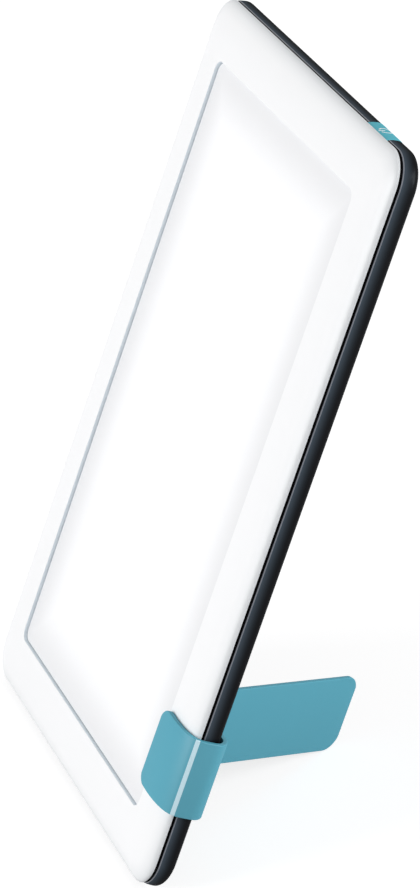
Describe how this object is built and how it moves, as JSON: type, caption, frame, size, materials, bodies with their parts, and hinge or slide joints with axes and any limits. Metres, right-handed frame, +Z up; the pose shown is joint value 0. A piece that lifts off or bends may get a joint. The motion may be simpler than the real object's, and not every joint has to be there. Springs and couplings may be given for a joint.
{
  "type": "light therapy lamp",
  "caption": "Slim upright light therapy panel with a white bezel, opal window, dark rounded back, top-edge power button and a folded clip-on strip stand that props it leaning back",
  "frame": {"origin": "on the floor, in the middle of the flat underside of the foot strip under the lower edge", "axes": "+Z up, the lit window faces -Y, +X to the right of someone who looks at the window; the panel leans back towards +Y"},
  "size_m": [0.1579, 0.0941, 0.2236],
  "materials": {
    "white_gloss": "glossy moulded shell",
    "opal_acrylic": "milky sheet, satin",
    "clear_film": "frosted film",
    "clear_acrylic": "polished clear sheet",
    "white_film": "white reflecting film",
    "white_circuit_board": "white solder mask",
    "sheet_aluminium": "plain folded sheet",
    "anthracite_gloss": "glossy dark blue-grey moulding",
    "circuit_board": "green solder mask",
    "black_plastic": "black moulding",
    "plated_steel": "zinc plated",
    "pale_plastic": "ivory nylon",
    "plated_brass": "plated",
    "teal_plastic": "satin teal",
    "lead_insulation": "thin insulation",
    "black_rubber": "soft non-slip strip"
  },
  "bodies": {
    "lamp": {"front_shell": "white_gloss", "diffuser_panel": "opal_acrylic", "diffusing_film": "clear_film", "light_guide": "clear_acrylic", "reflector_film": "white_film", "led_strip_left": "white_circuit_board", "led_strip_right": "white_circuit_board", "backlight_tray": "sheet_aluminium", "rear_housing": "anthracite_gloss", "control_board": "circuit_board", "switch_board": "circuit_board", "driver_coil": "black_plastic", "driver_chip": "black_plastic", "power_switch": "black_plastic", "power_inlet": "black_plastic", "capacitor_1": "plated_steel", "capacitor_2": "plated_steel", "lead_block_left": "pale_plastic", "lead_block_right": "pale_plastic", "lead_block_switch": "pale_plastic", "inlet_pin": "plated_brass", "led_lead_left": "lead_insulation", "led_lead_right": "lead_insulation", "switch_lead": "lead_insulation", "inlet_lead_left": "lead_insulation", "inlet_lead_right": "lead_insulation", "foot_strip": "black_rubber", "case_screw_1": "plated_steel", "case_screw_2": "plated_steel", "case_screw_3": "plated_steel", "case_screw_4": "plated_steel", "case_screw_5": "plated_steel", "case_screw_6": "plated_steel", "case_screw_7": "plated_steel", "case_screw_8": "plated_steel", "board_screw_1": "plated_steel", "board_screw_2": "plated_steel", "board_screw_3": "plated_steel", "board_screw_4": "plated_steel"},
    "stand": {"stand_strip": "teal_plastic"},
    "button": {"power_button": "teal_plastic", "switch_plunger": "pale_plastic"}
  },
  "joints": [
    {"name": "stand_slide", "type": "slide", "parent": "lamp", "child": "stand", "axis": [0, 0.3676, 0.93], "range_m": [-0.01, 0.17]},
    {"name": "power_button_press", "type": "slide", "parent": "lamp", "child": "button", "axis": [0, -0.3676, -0.93], "range_m": [0, 0.0008], "stiffness_N_per_m": 2500}
  ]
}
